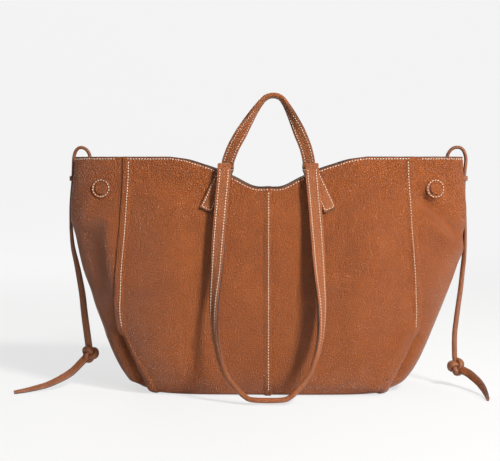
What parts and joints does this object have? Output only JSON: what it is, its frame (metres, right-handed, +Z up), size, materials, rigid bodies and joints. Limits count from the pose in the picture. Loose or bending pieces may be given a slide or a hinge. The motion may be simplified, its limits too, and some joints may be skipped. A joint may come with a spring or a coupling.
{
  "type": "leather tote bag",
  "caption": "Soft tan leather tote with flared wings, a dipped rim, magnetic wing buttons, a long shoulder strap, a short carry handle and a knotted lace at each end.",
  "frame": {"origin": "centre of the base's underside, on the surface the bag stands on", "axes": "+X to the right of the front, +Y to the back (the front faces -Y), +Z up"},
  "size_m": [0.5628, 0.207, 0.366],
  "materials": {
    "panel_leather": "pebbled, satin",
    "strap_leather": "pebbled, satin, with dark painted edges",
    "inner_leather": "matt suede",
    "base_board": "matt",
    "magnet": "satin"
  },
  "bodies": {
    "bag_body": {"back_left_button_cover": "panel_leather", "back_left_magnet": "magnet", "back_panel_left": "panel_leather", "back_panel_right": "panel_leather", "back_right_button_cover": "panel_leather", "back_right_magnet": "magnet", "back_rim_facing": "inner_leather", "base_board": "base_board", "base_panel": "panel_leather", "carry_handle_tab_left": "strap_leather", "carry_handle_tab_right": "strap_leather", "front_left_button_cover": "panel_leather", "front_left_magnet": "magnet", "front_panel_left": "panel_leather", "front_panel_right": "panel_leather", "front_right_button_cover": "panel_leather", "front_right_magnet": "magnet", "front_rim_facing": "inner_leather", "lace_anchor_left": "inner_leather", "lace_anchor_right": "inner_leather", "lace_keeper_left": "strap_leather", "lace_keeper_right": "strap_leather", "lace_knot_left": "strap_leather", "lace_knot_right": "strap_leather", "lace_tail_left": "strap_leather", "lace_tail_right": "strap_leather", "left_rim_facing": "inner_leather", "left_side_panel": "panel_leather", "right_rim_facing": "inner_leather", "right_side_panel": "panel_leather", "shoulder_strap_tab_left": "strap_leather", "shoulder_strap_tab_right": "strap_leather", "side_lace_left": "strap_leather", "side_lace_right": "strap_leather"},
    "shoulder_strap_body": {"shoulder_strap": "strap_leather"},
    "carry_handle_body": {"carry_handle": "strap_leather"}
  },
  "joints": [
    {"name": "shoulder_strap_swing", "type": "hinge", "parent": "bag_body", "child": "shoulder_strap_body", "pos_m": [0, -0.05069, 0.271], "axis": [-1, 0, 0], "range_deg": [0, 170]},
    {"name": "carry_handle_swing", "type": "hinge", "parent": "bag_body", "child": "carry_handle_body", "pos_m": [0, 0.05069, 0.271], "axis": [-1, 0, 0], "range_deg": [-35, 150]}
  ]
}
